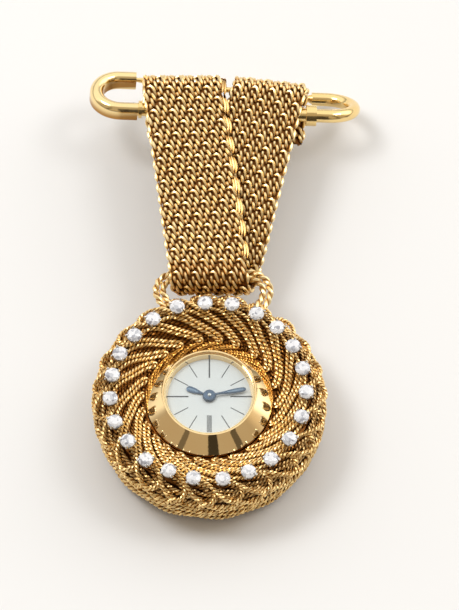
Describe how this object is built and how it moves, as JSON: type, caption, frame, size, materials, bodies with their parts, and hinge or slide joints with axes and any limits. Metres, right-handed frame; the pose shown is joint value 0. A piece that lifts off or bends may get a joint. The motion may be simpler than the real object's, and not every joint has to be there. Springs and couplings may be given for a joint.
{
  "type": "brooch watch",
  "caption": "Round watch in a swirled nest of twisted gold rope ringed with claw-set brilliants, hung by a rope bail from a folded woven ribbon on a safety pin.",
  "frame": {"origin": "middle of the flat case back, on the dial's axis", "axes": "+Z is the dial's outward normal; +Y points from the dial to the safety pin (the dial's six); +X is to the right as seen facing the dial with the pin up"},
  "size_m": [0.0386, 0.0685, 0.0122],
  "materials": {
    "gold_case": "satin yellow gold",
    "gold_bezel": "mirror-polished yellow gold",
    "gold_rope": "bright twisted gold wire, dark in its grooves",
    "gold_mesh": "woven twisted gold wire",
    "gold_pin": "polished yellow gold",
    "white_gold": "polished white gold",
    "brilliant": "faceted clear stone",
    "crystal_glass": "clear domed crystal",
    "silver_dial": "satin silvered",
    "black_print": "printed",
    "blued_hands": "blued steel",
    "movement_brass": "gilt brass",
    "movement_steel": "grained steel"
  },
  "bodies": {
    "watch_head": {"case_band": "gold_case", "case_back": "gold_case", "bezel": "gold_bezel", "rehaut": "gold_bezel", "crystal": "crystal_glass", "dial": "silver_dial", "dial_batons": "black_print", "nest_shell": "gold_case", "nest_base": "gold_case", "nest_loops_rope": "gold_rope", "nest_side_rope": "gold_rope", "stone_settings": "white_gold", "brilliants": "brilliant", "bail": "gold_rope", "movement_ring": "movement_brass", "main_plate": "movement_brass", "barrel_bridge": "movement_steel", "train_bridge": "movement_steel", "balance_cock": "movement_steel", "bridge_screws": "movement_steel"},
    "ribbon": {"mesh_ribbon": "gold_mesh"},
    "pin_frame": {"pin_bar": "gold_pin", "catch_hood": "gold_pin", "hood_collar": "gold_pin", "hinge_collar": "gold_pin"},
    "pin_bow": {"pin_stem": "gold_pin"},
    "minute": {"minute_hand": "blued_hands", "cannon_pinion": "movement_steel"},
    "hour": {"hour_hand": "blued_hands", "hour_wheel": "movement_brass"},
    "minute_wheel": {"minute_wheel": "movement_brass"},
    "barrel": {"barrel_drum": "movement_brass", "mainspring": "movement_steel"},
    "ratchet": {"ratchet_wheel": "movement_steel"},
    "centre": {"centre_wheel": "movement_brass"},
    "third": {"third_wheel": "movement_brass"},
    "fourth": {"fourth_wheel": "movement_brass"},
    "escape": {"escape_wheel": "movement_steel"},
    "pallet": {"pallet_fork": "movement_steel"},
    "balance": {"balance_wheel": "movement_brass", "hairspring": "movement_steel"},
    "crown_sleeve": {"crown_sleeve": "movement_steel"},
    "crown": {"winding_crown": "gold_case"}
  },
  "joints": [
    {"name": "ribbon_swing", "type": "hinge", "parent": "watch_head", "child": "ribbon", "pos_m": [0, 0.01915, 0.008], "axis": [1, 0, 0], "range_deg": [-75, 105]},
    {"name": "pin_turn", "type": "hinge", "parent": "ribbon", "child": "pin_frame", "pos_m": [0.0023, 0.045, 0.0088], "axis": [0.9969, 0, -0.0785], "range_deg": [-45, 120]},
    {"name": "stem_open", "type": "hinge", "parent": "pin_frame", "child": "pin_bow", "pos_m": [0.0023, 0.045, 0.0088], "axis": [-0.9969, 0, 0.0785], "range_deg": [0, 60]},
    {"name": "minute_turn", "type": "hinge", "parent": "watch_head", "child": "minute", "pos_m": [0, 0, 0.0092], "axis": [0, 0, -1], "continuous": true},
    {"name": "hour_turn", "type": "hinge", "parent": "watch_head", "child": "hour", "pos_m": [0, 0, 0.0089], "axis": [0, 0, -1], "continuous": true},
    {"name": "minute_wheel_turn", "type": "hinge", "parent": "watch_head", "child": "minute_wheel", "pos_m": [-0.00202, -0.00074, 0.0079], "axis": [0, 0, -1], "continuous": true},
    {"name": "third_turn", "type": "hinge", "parent": "watch_head", "child": "third", "pos_m": [0.0012, 0.0036, 0.0066], "axis": [0, 0, -1], "continuous": true},
    {"name": "centre_turn", "type": "hinge", "parent": "watch_head", "child": "centre", "pos_m": [0, 0, 0.0055], "axis": [0, 0, -1], "continuous": true},
    {"name": "barrel_turn", "type": "hinge", "parent": "watch_head", "child": "barrel", "pos_m": [-0.00355, 0.00053, 0.0064], "axis": [0, 0, -1], "continuous": true},
    {"name": "fourth_turn", "type": "hinge", "parent": "watch_head", "child": "fourth", "pos_m": [0.00355, 0.003, 0.006], "axis": [0, 0, -1], "continuous": true},
    {"name": "escape_turn", "type": "hinge", "parent": "watch_head", "child": "escape", "pos_m": [0.005, 0.00125, 0.0066], "axis": [0, 0, -1], "continuous": true},
    {"name": "pallet_rock", "type": "hinge", "parent": "watch_head", "child": "pallet", "pos_m": [0.0046, -0.0009, 0.0066], "axis": [0, 0, -1], "range_deg": [-5, 5]},
    {"name": "balance_swing", "type": "hinge", "parent": "watch_head", "child": "balance", "pos_m": [0.0026, -0.0042, 0.0062], "axis": [0, 0, -1], "range_deg": [-250, 250], "stiffness_Nm_per_rad": 0.0000001},
    {"name": "ratchet_turn", "type": "hinge", "parent": "watch_head", "child": "ratchet", "pos_m": [-0.00355, 0.00053, 0.0047], "axis": [0, 0, -1], "continuous": true},
    {"name": "crown_pull", "type": "slide", "parent": "watch_head", "child": "crown_sleeve", "axis": [0, 0, -1], "range_m": [0, 0.0006]},
    {"name": "crown_turn", "type": "hinge", "parent": "crown_sleeve", "child": "crown", "pos_m": [-0.0024, -0.00262, 0.001], "axis": [0, 0, -1], "continuous": true}
  ],
  "couplings": [
    {"joint": "hour_turn", "follows": "minute_turn", "ratio": 0.083333},
    {"joint": "minute_wheel_turn", "follows": "minute_turn", "ratio": -0.33333},
    {"joint": "third_turn", "follows": "fourth_turn", "ratio": -0.13333},
    {"joint": "centre_turn", "follows": "fourth_turn", "ratio": 0.016667},
    {"joint": "barrel_turn", "follows": "fourth_turn", "ratio": -0.002381},
    {"joint": "escape_turn", "follows": "fourth_turn", "ratio": -10},
    {"joint": "ratchet_turn", "follows": "crown_turn", "ratio": -0.5}
  ]
}
